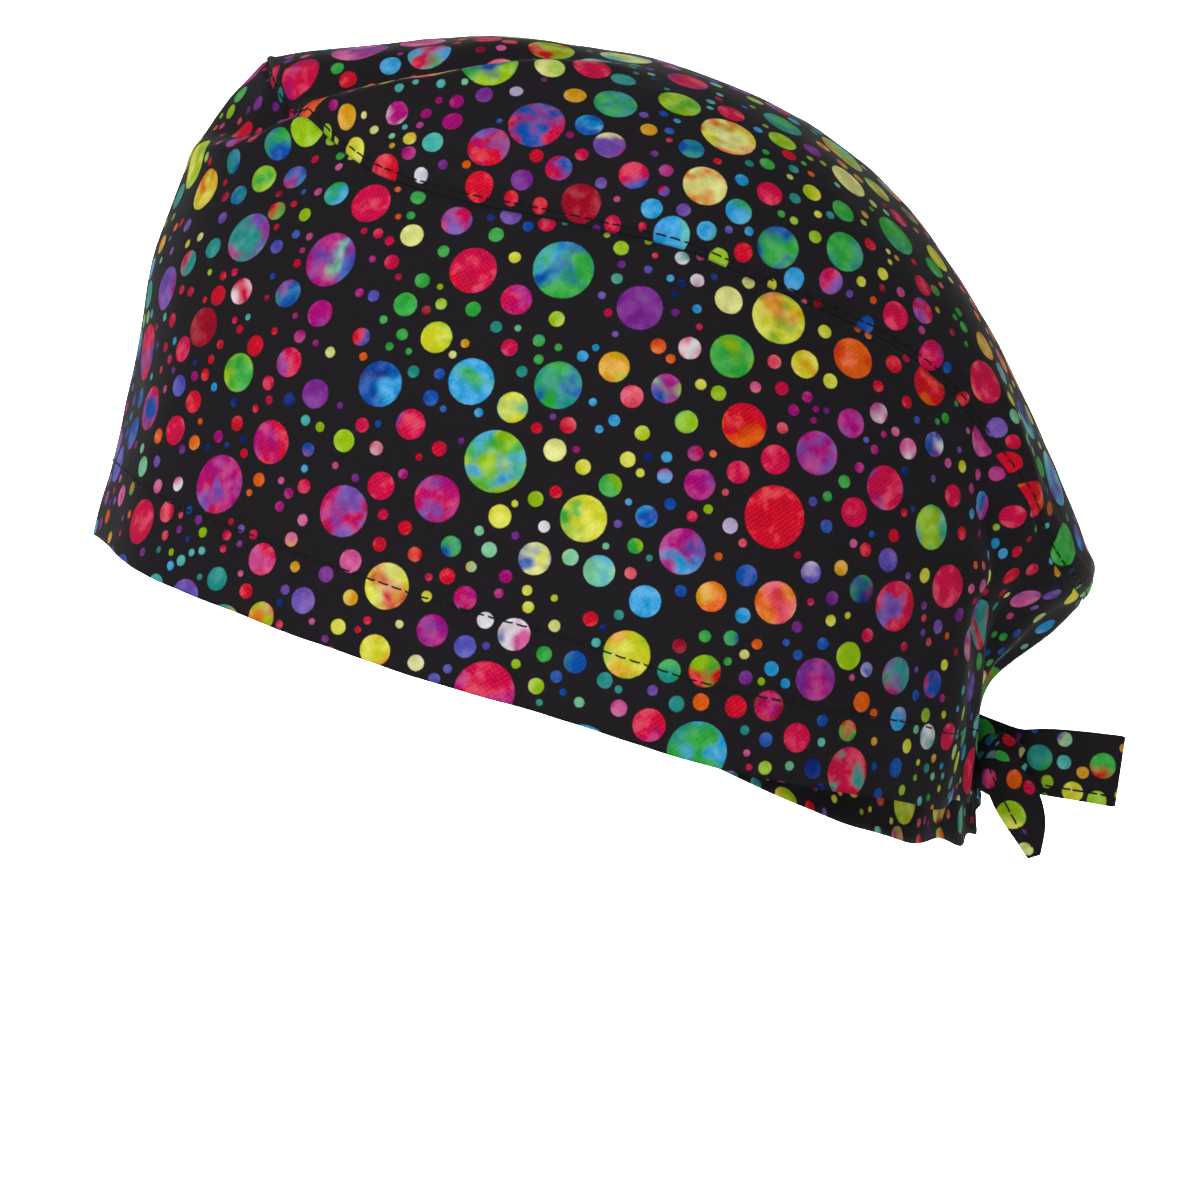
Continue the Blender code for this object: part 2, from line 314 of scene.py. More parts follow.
print("a broad crease lifts", creases(np.array([[10.0, -70, -90]]), *CREASES[0]).round(2), "mm")

# %% The folded band
DITCH = 0.55  # how deep the two edges turn in at the seam
SEAM_ROUND = 0.9  # millimetres from the seam over which an edge turns in
columns = len(band_smooth)
ribs_along = np.array([min(c, columns - c) for c in range(columns)])[:, None] / COLUMNS_PER_RIB
lift = fold_heights(band_smooth) + gather_heights(ribs_along, band_share[None, :], band_smooth)
lift += sum(creases(band_smooth, *crease) for crease in CREASES)
from_seam = (1 - band_share)[None, :] * np.array([lengths(rib)[-1] for rib in band_smooth])[:, None]
lift -= DITCH * np.exp(-(from_seam / SEAM_ROUND) ** 2)
band_cloth = band_smooth + away_from_head(band_smooth) * lift[..., None]
print("band: deepest", round(float(-lift.min()), 1), "mm, highest", round(float(lift.max()), 1), "mm")

# %% The folded crown
TOPSTITCH = 1.8  # from the seam, on the crown
ALLOWANCE = 7.0  # the seam's edges, pressed under the crown
arch_length = np.array([lengths(arch)[-1] for arch in crown_smooth])[:, None]
to_seam = np.minimum(crown_share, 1 - crown_share)[None, :] * arch_length
lift = fold_heights(crown_smooth) + sum(creases(crown_smooth, *crease) for crease in CREASES)
lift += 0.4 * step_up(to_seam, 0.5, 3) * (1 - step_up(to_seam, ALLOWANCE - 1, ALLOWANCE + 2))
lift -= DITCH * np.exp(-(to_seam / SEAM_ROUND) ** 2)
lift -= 0.3 * np.exp(-((to_seam - TOPSTITCH) / 0.6) ** 2)  # the stitches pull the cloth in
crown_cloth = crown_smooth + away_from_head(crown_smooth) * lift[..., None]
print("crown: deepest", round(float(-lift.min()), 1), "mm, highest", round(float(lift.max()), 1), "mm")

# %% [markdown]
# ## The hem
# The hem is turned up inside and stitched down, so the printed face shows for 17 mm inside the cap.
# The band's sheet goes on round the edge and back up behind itself, as the real cloth does. Its
# unfolded position goes on below the edge too, so the print runs round the turn unbroken.

# %% The turned-up hem
TURN_UP = 17.0  # the hem's turned-up width
TURN_ROWS = 12
TURN_GAP = 1.1  # from the band's outer face to the turned-up layer
turn_cloth, turn_smooth = [], []
for rib, unfolded in zip(band_cloth, band_smooth):
    up = np.linspace(TURN_UP, 0.5, TURN_ROWS)
    behind = at_lengths(rib, up)
    behind = behind - away_from_head(behind) * TURN_GAP
    edge = rib[0] - away_from_head(rib[0]) * TURN_GAP / 2 - unit(rib[1] - rib[0]) * 0.3
    turn_cloth.append(np.vstack([behind, edge]))
    turn_smooth.append(2 * unfolded[0] - np.vstack([at_lengths(unfolded, up), at_lengths(unfolded, [0.3])]))
band_cloth = np.concatenate([np.array(turn_cloth), band_cloth], axis=1)
band_flat = np.concatenate([np.array(turn_smooth), band_smooth], axis=1)
print("band grid:", band_cloth.shape[:2], "crown grid:", crown_cloth.shape[:2])

# %% [markdown]
# ## Sheets as grids
# A sheet of cloth is a grid of points, in folded and in unfolded form. The unfolded form is what the
# print and the cut size are measured on, so the dots follow the cloth into every fold.

# %% Grids and their faces
def grid_faces(shape, closed):
    """The corners of each face of a grid, and the column and row that it starts at."""
    numbers = np.arange(shape[0] * shape[1]).reshape(shape[:2])
    after = np.roll(numbers, -1, axis=0)
    if not closed:
        numbers, after = numbers[:-1], after[:-1]
    faces = np.stack([numbers[:, :-1], after[:, :-1], after[:, 1:], numbers[:, 1:]], axis=-1)
    return faces.reshape(-1, 4)


def areas(points, faces):
    """The area of each face, from its two diagonals."""
    a, b, c, d = (points[faces[:, corner]] for corner in range(4))
    return np.linalg.norm(np.cross(c - a, d - b), axis=1) / 2


PIECES = {}


def piece(name, cloth, flat, closed=False):
    """Keeps a sheet's points, its unfolded points and its faces until the print is laid out."""
    faces = grid_faces(cloth.shape, closed)
    points, flat_points = cloth.reshape(-1, 3), flat.reshape(-1, 3)
    PIECES[name] = {
        "shape": cloth.shape[:2], "closed": closed, "faces": faces, "points": points, "flat": flat_points,
        "dots": [], "area": float(areas(flat_points, faces).sum()),
    }
    print(name, len(faces), "faces,", round(PIECES[name]["area"] / 100), "square cm of cloth")


piece("band", band_cloth, band_flat, closed=True)
piece("crown", crown_cloth, crown_smooth)

# %% [markdown]
# ## The ties
# Each tie is a strip of the same cotton, folded to 15 mm and stitched along its edge. Both pass
# through the knot behind the neck: one end stands out level, the other hangs down in a leaf shape.
# A strip is drawn as a flat tube, which is what a folded strip is.

# %% The ties' middle lines, and their widths
TIE_BACK = [
    (98.4, 5.6, -145.6), (103.4, 3.2, -148.9), (110, 1, -152.4), (117, -0.5, -153.2), (124.5, -2, -154.1),
    (131.9, -1.4, -155.2),
]
TIE_BACK_WIDTHS = (8, 10.4, 13, 14.4, 15, 15.4)
TIE_DOWN = [
    (103.5, -8.6, -152), (105.4, -9.6, -155.2), (108.8, -10.6, -160), (111.2, -10.6, -166), (113, -9.8, -173),
]
TIE_DOWN_WIDTHS = (6, 8, 10.4, 8.8, 3.0)
AROUND = 24
print("the tie behind:", round(float(lengths(np.array(TIE_BACK, float))[-1])), "mm long")


# %% A strip of folded cloth
def strip(name, line, widths, facing, thickness, closed=False, curl=0.0):
    """A flat tube of cloth along a line. facing is where its broad side looks."""
    route = smooth_line(line, 10, closed)
    wide = smooth_line(np.array(widths, float)[:, None], 10, closed)
    if np.ndim(facing) > 1:
        facing = smooth_line(facing, 10, closed)
    else:
        facing = np.tile(np.array(facing, float), (len(route), 1))
    if closed:
        tangent = unit(np.roll(route, -1, axis=0) - np.roll(route, 1, axis=0))
    else:
        tangent = unit(np.gradient(route, axis=0))
    across = unit(np.cross(tangent, facing))
    normal = unit(np.cross(across, tangent))
    turn = np.linspace(0, 2 * np.pi, AROUND + 1)
    side = np.sign(np.cos(turn)) * np.abs(np.cos(turn)) ** 0.7
    rise = np.sin(turn)
    cloth, flat = [], []
    length = lengths(route)
    for spot, wide_here, a, n, s in zip(route, wide, across, normal, length):
        ripple = 0.35 * math.sin(s * 0.45) + curl * side ** 2
        ring = spot + a * (side[:, None] * wide_here / 2) + n * (rise * thickness / 2 + ripple)[:, None]
        cloth.append(ring)
        around = lengths(ring)
        flat.append(np.stack([np.full(AROUND + 1, 1000 + s), around, np.zeros(AROUND + 1)], axis=1))
    cloth, flat = np.array(cloth), np.array(flat)
    if closed:
        cloth, flat = np.concatenate([cloth, cloth[:1]]), np.concatenate([flat, flat[-1:] + [1, 0, 0]])
    else:
        # The ends are folded in and pressed shut.
        for end in (0, -1):
            middle = cloth[end].mean(axis=0)
            flatter = cloth[end] - middle
            flatter -= (flatter @ normal[end])[:, None] * normal[end] * 0.55
            cloth[end] = middle + flatter * 0.97
        shut = [np.tile(cloth[end].mean(axis=0), (AROUND + 1, 1)) for end in (0, -1)]
        cloth = np.concatenate([shut[:1], cloth, shut[1:]])
        flat = np.concatenate([flat[:1] - [0.6, 0, 0], flat, flat[-1:] + [0.6, 0, 0]])
    piece(name, cloth, flat)
    return route, across, normal, wide


tie_back = strip("tie_back", TIE_BACK, TIE_BACK_WIDTHS, (0, -1, 0), 2.2, curl=0.5)
tie_down = strip("tie_down", TIE_DOWN, TIE_DOWN_WIDTHS, (0.3, -1, 0), 2.2, curl=0.6)


# %% The wraps of the knot
def loop(name, centre, half_height, half_depth, lean, width):
    """A strip wrapped once round the knot. lean turns it about the line across the head."""
    turn = np.linspace(0, 2 * np.pi, 9)[:-1]
    cos, sin = math.cos(lean), math.sin(lean)
    line, facing = [], []
    for t in turn:
        out = np.array([-sin * math.cos(t), math.sin(t), cos * math.cos(t)])
        line.append(np.array(centre) + out * [half_height, half_depth, half_height])
        facing.append(out)
    strip(name, line, [width] * len(line), facing, 1.6, closed=True)


loop("knot_wrap", (105.2, -5.6, -153.4), 5.6, 3.8, math.radians(-35), 7.0)
loop("knot_cross", (106.0, -5.8, -152.6), 5.0, 3.4, math.radians(50), 6.0)

# %% [markdown]
# ## The print
# The cloth is printed with round dots on black: a few large, more of middle size and many small,
# none touching, each one dyed in one to three running colours like watercolour on wet paper.
# The dots that show best are charted one by one, each by where it is seen from the wearer's left,
# and are laid on the cloth along the line of sight. Seeded chance throws all the others.

# %% The dyes
DYES = {
    "c": "#d0284f", "r": "#d42034", "k": "#e25c6c", "o": "#e5682f", "a": "#dca542", "y": "#d7d84e",
    "f": "#dddf8c", "l": "#9dc636", "g": "#42aa4c", "e": "#80c89c", "t": "#35938b", "q": "#5bbcb5",
    "s": "#4aa4dc", "b": "#2957ad", "n": "#20347e", "i": "#5e5eb8", "v": "#7656ab", "u": "#7a358e",
    "m": "#b02f80", "p": "#d0619a", "h": "#c2b4d4", "w": "#e2e0e6", "d": "#9d2030",
}
WHEEL = "cropdmkoayflgetqsbnivumpc"  # the order in which the thrown dots' dyes drift over the cloth
print(len(DYES), "dyes")

# %% The charted dots: how far back and how high each is seen, its diameter and its dyes
CHART = {
    "brow and temple": """
        -42.7 -6.8 9.4 cm, -32.3 -8.1 4 r, -38.5 -3.7 2.3 g, -34.6 -5.5 2.9 g, -41 -9.6 4 t, -46.7 -11.1
        6 ts, -55.2 -11.1 4 g, -57.3 -14.8 5 l, -51.5 -12.9 3 u, -44 -12.7 3 p, -35.4 -13.2 2.3 m, -32.6
        -15.9 4.6 a, -54.6 -19.2 5.4 r, -64.8 -25.5 11 ly, -47.2 -21.6 6.2 bg, -41 -17.6 8 l, -36.6
        -19.2 2.4 ly, -31 -23.5 6 yo, -56.7 -25.3 4.6 tb, -50.2 -29.2 6.2 lg, -62.7 -31.5 9 yao, -55.6
        -32.6 4.4 bt, -68.3 -32.8 5.8 t, -43.6 -28.8 5.8 brs, -34.8 -32.2 5.8 gs, -47.5 -35.9 4.4 rg,
        -41.5 -36.7 3 l, -53.5 -41.5 12.4 tvm, -66.5 -39 3 v, -59 -37.4 2.7 v, -71.5 -36 5 l, -71.9 -43
        4.2 a, -61 -43.8 4.6 tb, -66.4 -47 5.8 ct, -36.1 -46.3 12.2 mbe, -47.5 -43.5 3.1 i, -43.4 -40.9
        2 b""",
    "crown and seam, middle": """
        -15 -2.4 9.4 sgc, -23.3 -4.9 4.6 s, -2.1 -4.9 12 lgb, 11 -1.5 9.8 lr, 10.6 -5 6.5 lf, -2.5 0.7 6
        c, 9.4 -8 6 mu, 19.6 -5.3 8 c, 26.3 -8 5.4 t, 16 -11.3 4.8 a, -7.5 -8.4 6.7 e, -3.3 -11.3 6.2 u,
        3.5 -10.5 2.9 h, -9.2 -12.7 3.1 m, 24.6 -13 9.2 tg, -21.9 -15.3 5 wm, -15.7 -15.2 2.4 m, -10.1
        -16.8 4.5 m, 7.8 -17.2 12.1 rcb, 19 -17.6 6 bs, 23.3 -21.8 9.4 mvf, -19.2 -20.5 3.1 ay, -14.3
        -21.3 4.7 q, -2.4 -22.2 9.2 rvb, 7.8 -24.2 3 r, 17.4 -23.9 2.9 c, -19.4 -23.5 3.3 m, -12.1 -26
        2.2 u, -7.1 -26 3.3 o, -24.6 -27.5 7 rk, -16.8 -28.2 3.1 wv, 12.5 -26.8 5.8 rb, 4.7 -29.2 4.8 u,
        28.5 -28.2 6.4 cb, -4.4 -30.5 6.2 r, 21.5 -30 2.5 v, -27.5 -34.2 9 c, 17.3 -34 8.4 d, -17.4 -33
        3.3 g, 2.4 -33.2 4.6 r, 8.5 -34.8 3.2 r, 2.4 -36.8 4.7 v, -9.2 -38 6.8 cv, 10 -38.6 3.7 c, 24
        -38.8 3.5 c, -18.7 -41.1 5.1 f, -0.8 -41 3.3 g, 25.8 -43.8 3.3 l, -12 -44.5 2.6 g, -23 -46.8 3.3
        c, -5.7 -48.6 10.3 cr, 3.2 -45.8 2.6 y, 13.5 -48.4 13 gsb, -16.5 -50.7 3.3 g, 24.9 -50.3 2.4 et""",
    "crown, back": """
        40 -8.2 9 cu, 38.3 -13 9.3 lg, 49.2 -15.1 6.2 c, 54.3 -12.4 4 l, 60.2 -17.4 9 tg, 60.1 -21 6.5
        l, 48.7 -19.9 12.5 yfo, 31.7 -18.6 3.6 a, 36.1 -18.9 2.2 b, 40.8 -22.6 5.6 tb, 61.5 -24 4 r,
        66.5 -23 4.5 u, 56.9 -25.9 3.5 g, 53.1 -25.8 2 t, 62.5 -27 2.4 t, 35.4 -27.3 3.1 vm, 43.7 -30.4
        9.6 fo, 51.5 -29.3 3 s, 57.4 -32.2 5.8 c, 62.8 -33.2 2.7 t, 66.4 -32 4.3 yl, 74.2 -29.5 9 f,
        73.1 -35.9 5.5 g, 70.3 -36.8 2 t, 34.9 -31.7 2.4 vc, 32.3 -35.3 4.6 s, 39.1 -35.7 3.1 v, 45.9
        -35.2 2 s, 50.8 -36 5.8 sg, 36.5 -41.1 8.8 sqb, 33.1 -42.6 4 vp, 44 -40.1 4.2 ts, 84.3 -41.1 10
        gt, 84.8 -37.4 5 c, 73.5 -44.5 9 gt, 59.2 -43.6 9.2 bng, 67.1 -41.4 2.9 l, 78.8 -43 3 r, 38.8
        -45.9 3.1 wt, 51.8 -44.7 4 r, 46.5 -46.3 4.3 lr, 62.6 -50.3 4.4 s, 70.5 -50.7 5.4 vc, 81.5 -49.3
        2.8 y, 42 -50.7 3 wm, 52.9 -51.1 2.8 f, 90 -51.8 5 c, 92.6 -52.8 6.4 gr, 92.4 -48 5.4 g, 93 -46
        9 y""",
    "side, front": """
        -71 -52.3 9.5 vm, -74.7 -53.7 6 t, -60 -53.9 4.4 r, -55 -53 5.8 cw, -45.1 -53.5 6.4 btc, -38.3
        -57.7 6 mb, -63.2 -60.6 8.6 d, -69.7 -59.2 3 c, -75 -66 12 cb, -67.5 -65.3 6 cv, -42.6 -62.6 2.8
        m, -52.1 -64.6 4.5 r, -55.6 -70.3 9.2 gl, -44.9 -68.1 6.4 cv, -36.1 -66 2.3 f, -62.7 -70.8 2.6
        r, -68.3 -73.1 4.6 i, -49.3 -72.5 3.1 c, -39.3 -74.8 6.3 u, -44.8 -76 3 n, -65.2 -76.5 4.8 r,
        -74.4 -77.9 9.5 cb, -69.1 -82.6 6.3 cr, -55.9 -81.1 3.2 r, -48.8 -85.1 9.4 rm, -33.2 -84.8 4.8
        ly, -29.3 -81.5 3.1 c, -65 -85.2 3.2 oa, -72.7 -83.8 3.3 o, -59.9 -83.9 2.6 m, -40.8 -86.7 3 bc,
        -59.7 -94 12.6 mcv, -51.3 -93.1 3 o, -76 -90.3 4.4 e, -73 -89.2 2.5 v, -68.5 -94 3.1 pw, -72.8
        -94.5 3.1 p, -78.3 -95 2.9 og, -80.5 -96.5 4.6 p, -46.9 -98.8 2.3 m, -41.7 -94.5 3.1 c, -33.3
        -99.8 11 cmv, -42 -101.7 2.5 p, -70.9 -99.9 4.6 kc, -76.4 -102 9.6 c, -83.5 -100.9 3.1 o, -83
        -105.4 2.6 a, -63.2 -104.3 2.2 l, -58.1 -104.9 2.2 c, -44.4 -105.8 3.1 pa""",
    "side, middle": """
        -26.9 -54 2.6 i, -20.1 -55.8 5.2 gl, -12.5 -55.7 2.5 l, -5.7 -56.8 3.3 g, 3.5 -54.8 6.7 mc, 12.1
        -58.9 3.4 ly, 29.8 -56.5 9.8 u, -20.8 -62.2 2.5 g, -13.5 -62.8 6.9 ly, -0.8 -60.6 2.5 t, 2 -65
        3.6 cp, 8.3 -63.5 2.6 gs, -29.5 -62.7 4 rb, -18.4 -70.1 2.6 t, 4.7 -70.1 2.4 t, 17.6 -66.8 2.4
        s, -25.5 -72.7 9.8 bsn, -6.1 -72.2 10 sg, 12.4 -73 10.2 gtb, 24.3 -69.1 6.6 alm, 28.1 -75.4 4.9
        mk, -14.7 -75.7 3.4 b, 2.7 -77.7 6.6 ey, 24.3 -80.5 2.5 s, 14.5 -81.5 3.5 kr, 7.8 -82.1 2.4 r,
        -19 -81.3 6.5 cb, 30.3 -83.2 3.2 yl, -26.3 -86.4 3 cw, -12.9 -86.5 3.2 rb, 11.7 -86.8 4.9 f,
        27.2 -88.8 3.3 y, 17.7 -90.4 3.3 y, -1 -89.2 13.4 gls, 11.9 -95.7 2.7 r, 23.5 -94.3 4.9 gl,
        -25.3 -94.4 6 c, -20.6 -91.9 2.2 m, -13.4 -97.1 10 mcb, 7.6 -97.2 3.3 yl, -24.9 -100.5 2.3 c, 0
        -100.9 4.9 y, 9.4 -103.1 2.5 w, 17.8 -101.4 10 yg, 31.2 -100.9 4.7 sb, -20.2 -103.3 3 r, -10.4
        -107.3 4.4 gb, -25.6 -106.8 3 ro""",
    "side, back": """
        48.7 -54.9 6.1 f, 59.4 -58.8 12.2 yog, 33.7 -64.7 3.3 oc, 40.4 -65.1 4.9 cw, 49.4 -66.8 9.6 gl,
        58.4 -68 3.1 k, 64.9 -68.5 6.3 ay, 69.1 -61.6 3.2 y, 77.7 -60.4 3.7 b, 75.1 -67.2 9.4 or, 84.3
        -58.1 6.3 c, 90 -57.1 6 cv, 83.8 -68.5 4 r, 92 -66.5 6.4 cu, 91.5 -73 9 ro, 35.4 -73.7 6.4 mbl,
        46.5 -74.7 3.3 lo, 54.4 -73.4 2.5 op, 60 -73.7 3 c, 70.3 -72.1 3.3 y, 80.5 -73.2 2.6 r, 86.6
        -76.6 2.7 r, 65.4 -75.5 2.4 m, 52 -81.5 9.7 ro, 62.5 -78.3 2.5 m, 80.6 -78.9 4.5 mw, 74.7 -81.1
        6.4 mv, 39.7 -80.8 4.9 gl, 60.1 -82.1 2.5 k, 67.5 -87.4 9.6 mv, 58.6 -88.8 6.4 c, 41.6 -87.5 3.3
        cb, 86.9 -86.5 4.6 pw, 50.7 -91.5 4.9 cm, 35.1 -92.3 3.2 sm, 42.5 -94.1 6.6 mv, 76.5 -90.5 2.3
        m, 92.4 -85.6 5.4 bmw, 73.3 -93.5 2.8 g, 82 -94.8 9.6 cv, 36.2 -98.3 2.5 b, 75.4 -100 6.3 c,
        40.9 -100.9 2.3 c, 49 -102.9 3.3 hw, 58.5 -101 13.3 r, 69.5 -103 2.8 bm, 83.8 -105 2.7 r, 91.8
        -103.2 9.6 lsg""",
    "pouch and tuck": """
        97.6 -57.4 2.2 g, 98.7 -60.6 2.6 g, 103.2 -64.6 6.6 al, 102 -65.6 3.4 s, 103.2 -72.2 9.6 co,
        106.8 -70.4 5 ei, 99.6 -72 3 u, 95.2 -69.2 2.4 b, 98.4 -76 3.2 r, 94.8 -80 2.3 g, 102.6 -84.6
        7.4 pm, 105.8 -82 4.4 v, 109.3 -85 7 cr, 109.6 -79.6 3.2 e, 115 -90.4 4.6 g, 108 -89.4 4.6 r,
        98.4 -90.3 2.6 y, 101.7 -92 2.5 p, 105.6 -91.8 3.2 m, 96.4 -96.5 4.8 c, 102.4 -98.6 6.2 sbm,
        112.6 -97.8 9 ro, 109.2 -101 5 c, 105.6 -103.2 6.6 l, 117 -99.2 3 og, 98.3 -104.5 2.8 r, 120.6
        -107 9.2 g, 110 -108.4 2.6 r, 107 -108.8 2.4 s, 108.8 -113.6 4.2 r, 113.2 -112.2 3 c, 118.8
        -112.3 3 a, 95.2 -115.8 9.4 cp, 90.4 -113.5 3.2 y, 102.8 -115.8 3 p, 111.6 -118.4 6 pi, 117.6
        -117.6 8 vbe, 122.8 -117 7.6 ya, 101.6 -123.4 10.4 tvc, 97.8 -121.8 3 u, 93.2 -124.4 3 v, 116
        -124.4 4.6 s, 110 -125.8 2.2 b, 111.6 -128.6 1.8 e, 92 -136.6 6 bc, 102 -131.8 4 g, 103.4 -136.6
        8.4 lgr, 84.3 -134.8 8.2 vct, 98.6 -142.8 3 l, 90.6 -143.2 3 bl, 91 -147.8 6 tw, 95.4 -147.8 5.8
        c, 97.2 -153.2 4.6 yl, 100.2 -155 10 cr, 102.6 -147.2 6 g, 99 -158 4 g""",
    "low on the side, front": """
        -50.6 -110 6.8 cp, -60.2 -114.2 5 t, -44.4 -106 3.2 pa, -43.6 -111.6 2.3 a, -37 -113.2 3.5 u,
        -31.8 -110.4 5 pa, -24.1 -115.8 9.8 yfc, -18.1 -109 3.1 or, -11.2 -113.6 3.4 cr, -54 -116.8 3.2
        r, -41.9 -118.8 5.6 vi, -31.8 -118.2 3.4 ay, -50.8 -122.2 6.2 oml, -42.8 -127 6.6 yl, -34.4
        -124.4 3.4 y, -7.4 -118.3 5 mr, -15.6 -117.9 2.3 y, -14.4 -125.2 6.8 mu, -26.6 -129.4 6.8 yo,
        -7.4 -128.6 4.8 i, -17.9 -132.1 3.5 fw, -14 -135.5 2.6 i, -3.1 -123 3.6 wp, -2.3 -108 3.3 em,
        -6.1 -111.6 2.3 ea, -3.4 -138.4 13.2 cm, -28.2 -123 1.8 c, -21.4 -123.8 1.7 f""",
    "low on the side, middle and back": """
        7.4 -109.9 7 yfb, 15 -109.6 3.5 eyp, 21.1 -112.5 6.8 eqs, 28.8 -107.2 3.3 lg, 38.8 -108.4 9.8
        mbs, 1.2 -113.7 2.8 mc, 27.8 -113 2.6 ok, 30.9 -119 6.8 s, 38.5 -116.8 2.5 b, 45 -118 6.5 oal,
        52.5 -113.5 4.6 bv, 58.7 -119.3 9.2 oka, 6 -120.2 2.5 y, 19.3 -122.7 3.2 r, 3 -126 7 wpb, 11.6
        -124.2 2.5 f, 51.7 -122 3.3 sv, 43.6 -126.4 2.6 g, 49.2 -126.8 3.2 gb, 38.2 -128.5 3 d, 27
        -130.2 10 yal, 9.4 -130.2 3.3 g, 16 -131.9 4.8 bg, 36 -133.8 4.9 gt, 43.6 -133.8 6.8 lgr, 12
        -135 2.6 b, 22.3 -135.8 3.3 t, 57.8 -133.3 3.2 s, 52.3 -135.2 3 u, 7.7 -137 3.4 lf, 12.4 -145.6
        8 g, 25.3 -141.7 3.5 pm, 31.7 -145.3 7 crm, 37.6 -140.8 3.3 t, 42.8 -140.4 3.5 oa, 50.2 -141.4
        4.7 rc, 41.9 -151 12.8 gts, 57.2 -141.2 6.6 dmc, 56.6 -148.4 3 b, 56.4 -154.4 3 l, 63.2 -148 6.2
        c, 67.2 -135.6 9.4 um, 66.2 -112.8 4.6 vih, 72.6 -111.9 3.2 a, 77.8 -108 2.8 r, 82.6 -110.2 4.9
        vb, 77 -116.4 6 ngd, 70.7 -118.3 2.9 u, 84.2 -120 10.8 rcv, 70.4 -123.1 2.4 y, 68.7 -128 2.7 b,
        78.2 -126.2 3 c, 63.2 -124.4 2.4 u, 74.2 -130.6 6.2 l, 63.4 -130.4 2.2 b, 78 -133.5 3.2 hb, 77
        -140.4 4.4 o, 84.8 -144 5.2 sc, 68.6 -144.4 2.6 b, 74 -146.5 4.6 rg, 74 -155.4 10.8 rct, 66.6
        -154.6 4.2 n, 86.6 -149.8 3 y, 84.2 -154.4 4.2 b, 86.2 -162 8.8 yl, 61.6 -154 2 e, 52.1 -146.4 2
        t, 86 -128.6 2 c, 80.5 -160 2.6 b""",
    "ties": """
        108.4 -148.4 3 r, 114.8 -152.2 5.4 tg, 128.4 -154 5.4 rg, 124 -155.4 4 a, 121.8 -159.6 4.4 y,
        127 -161.4 4.2 l, 120 -153.2 3 q, 106.4 -152.6 3.6 g, 109.4 -156.8 3.6 or, 112.6 -158.6 3 c,
        108.6 -164.4 6.4 ly, 111.4 -168 2.4 u""",
}
print("charted:", sum(len(rows.split(",")) for rows in CHART.values()), "dots")

# %% [markdown]
# ## Laying the chart on the cloth
# A charted dot is known by where it is seen, not by where it is on the cloth. A line of sight is cast
# from the eye through each, and the dot goes where the line meets the first cloth, in that cloth's
# unfolded form. A fold then squeezes it as it squeezes a real printed dot.

# %% Laying the charted dots
EYE = np.array([21.3, -1500.0, -118.7])  # where the chart is seen from
CHART_GAP = 0.5
SMALLEST_RADIUS = 0.6


def shaped(name):
    """The folded form of a piece, for casting lines of sight."""
    found = PIECES[name]
    return BVHTree.FromPolygons(found["points"].tolist(), found["faces"].tolist())


def lay_dot(x, z, size, dyes, trees):
    """Puts a charted dot on the first piece of cloth that its line of sight meets."""
    best = None
    way = unit(np.array([x, 0, z]) - EYE)
    for name, tree in trees.items():
        place, normal, face, far = tree.ray_cast(Vector(EYE), Vector(way))
        if place is not None and (best is None or far < best[0]):
            best = (far, name, place, face)
    if best is None:
        return False
    far, name, place, face = best
    corners = PIECES[name]["faces"][face]
    weights = np.array(poly_3d_calc([Vector(PIECES[name]["points"][c]) for c in corners], place))
    centre = weights @ PIECES[name]["flat"][corners]
    # Where a fold hides the cloth between two dots, the later one gives way, so that none touch.
    radius = size / 2 * far / -EYE[1]
    for dot in PIECES[name]["dots"]:
        radius = min(radius, np.linalg.norm(centre - dot[:3]) - dot[3] - CHART_GAP)
    if radius > SMALLEST_RADIUS:
        PIECES[name]["dots"].append((*centre, radius, dyes))
    return radius > SMALLEST_RADIUS


trees = {name: shaped(name) for name in PIECES}
missed = 0
for rows in CHART.values():
    for row in rows.split(","):
        x, z, size, dyes = row.split()
        missed += not lay_dot(float(x), float(z), float(size), dyes, trees)
print("charted dots:", {name: len(found["dots"]) for name, found in PIECES.items()}, "missed:", missed)

# %% [markdown]
# ## Dots thrown by chance
# Printed dots keep a clear gap, so a thrown dot is kept only where it clears all those already
# there. The large ones go first, as they need the most room. Where the chart has the large dots
# already, only small ones are thrown.

# %% Sizes of the thrown dots, and where the chart leaves room for them
dice = np.random.default_rng(SEED)
GAP = 0.9
# Smallest and largest diameter, square millimetres of cloth for each, and whether they fill charted cloth.
SIZES = [
    (7.0, 13.0, 330, False), (4.2, 6.8, 210, False), (2.6, 3.6, 130, False), (1.3, 2.3, 75, True),
]


def charted_faces(name):
    """True where a face is seen well from the wearer's left, so that the chart covers it."""
    found = PIECES[name]
    corners = found["points"][found["faces"]]
    middle = corners.mean(axis=1)
    facing = unit(np.cross(corners[:, 2] - corners[:, 0], corners[:, 3] - corners[:, 1]))
    seen = np.einsum("ij,ij->i", facing, unit(EYE - middle)) > 0.22
    for index in np.flatnonzero(seen):
        way = Vector(EYE - middle[index]).normalized()
        start = Vector(middle[index]) + way * 2.0
        seen[index] = all(tree.ray_cast(start, way, 300)[0] is None for tree in trees.values())
    return seen


print("dots are thrown in", len(SIZES), "sizes, from", SIZES[0][1], "down to", SIZES[-1][0], "mm")


